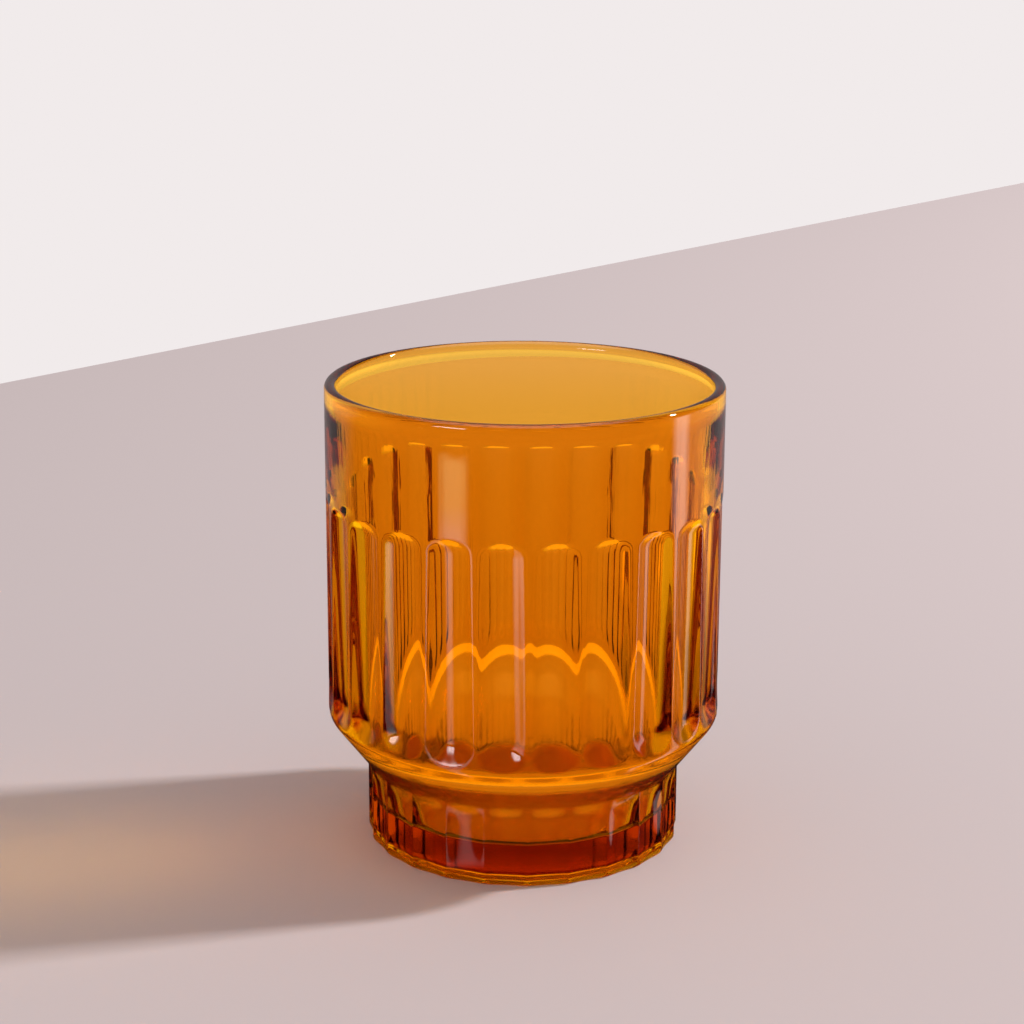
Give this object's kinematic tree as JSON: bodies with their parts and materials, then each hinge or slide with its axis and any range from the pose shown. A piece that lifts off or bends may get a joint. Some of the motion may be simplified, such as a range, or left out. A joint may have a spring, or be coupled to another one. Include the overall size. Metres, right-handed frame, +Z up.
{
  "type": "tea tumbler",
  "caption": "Stackable pressed-glass tea tumbler in amber, with a plain collar, arched vertical flutes, a rounded shoulder and a narrower fluted foot.",
  "frame": {"origin": "centre of the foot's resting ring, on the surface that the tumbler stands on", "axes": "+Z up along the tumbler's axis; +X and -Y each run through a ridge between two flutes, and -Y faces the viewer"},
  "size_m": [0.076, 0.076, 0.0905],
  "materials": {
    "amber_glass": "clear amber glass, pressed and fire-polished"
  },
  "bodies": {
    "root": {"tumbler": "amber_glass"}
  },
  "joints": []
}
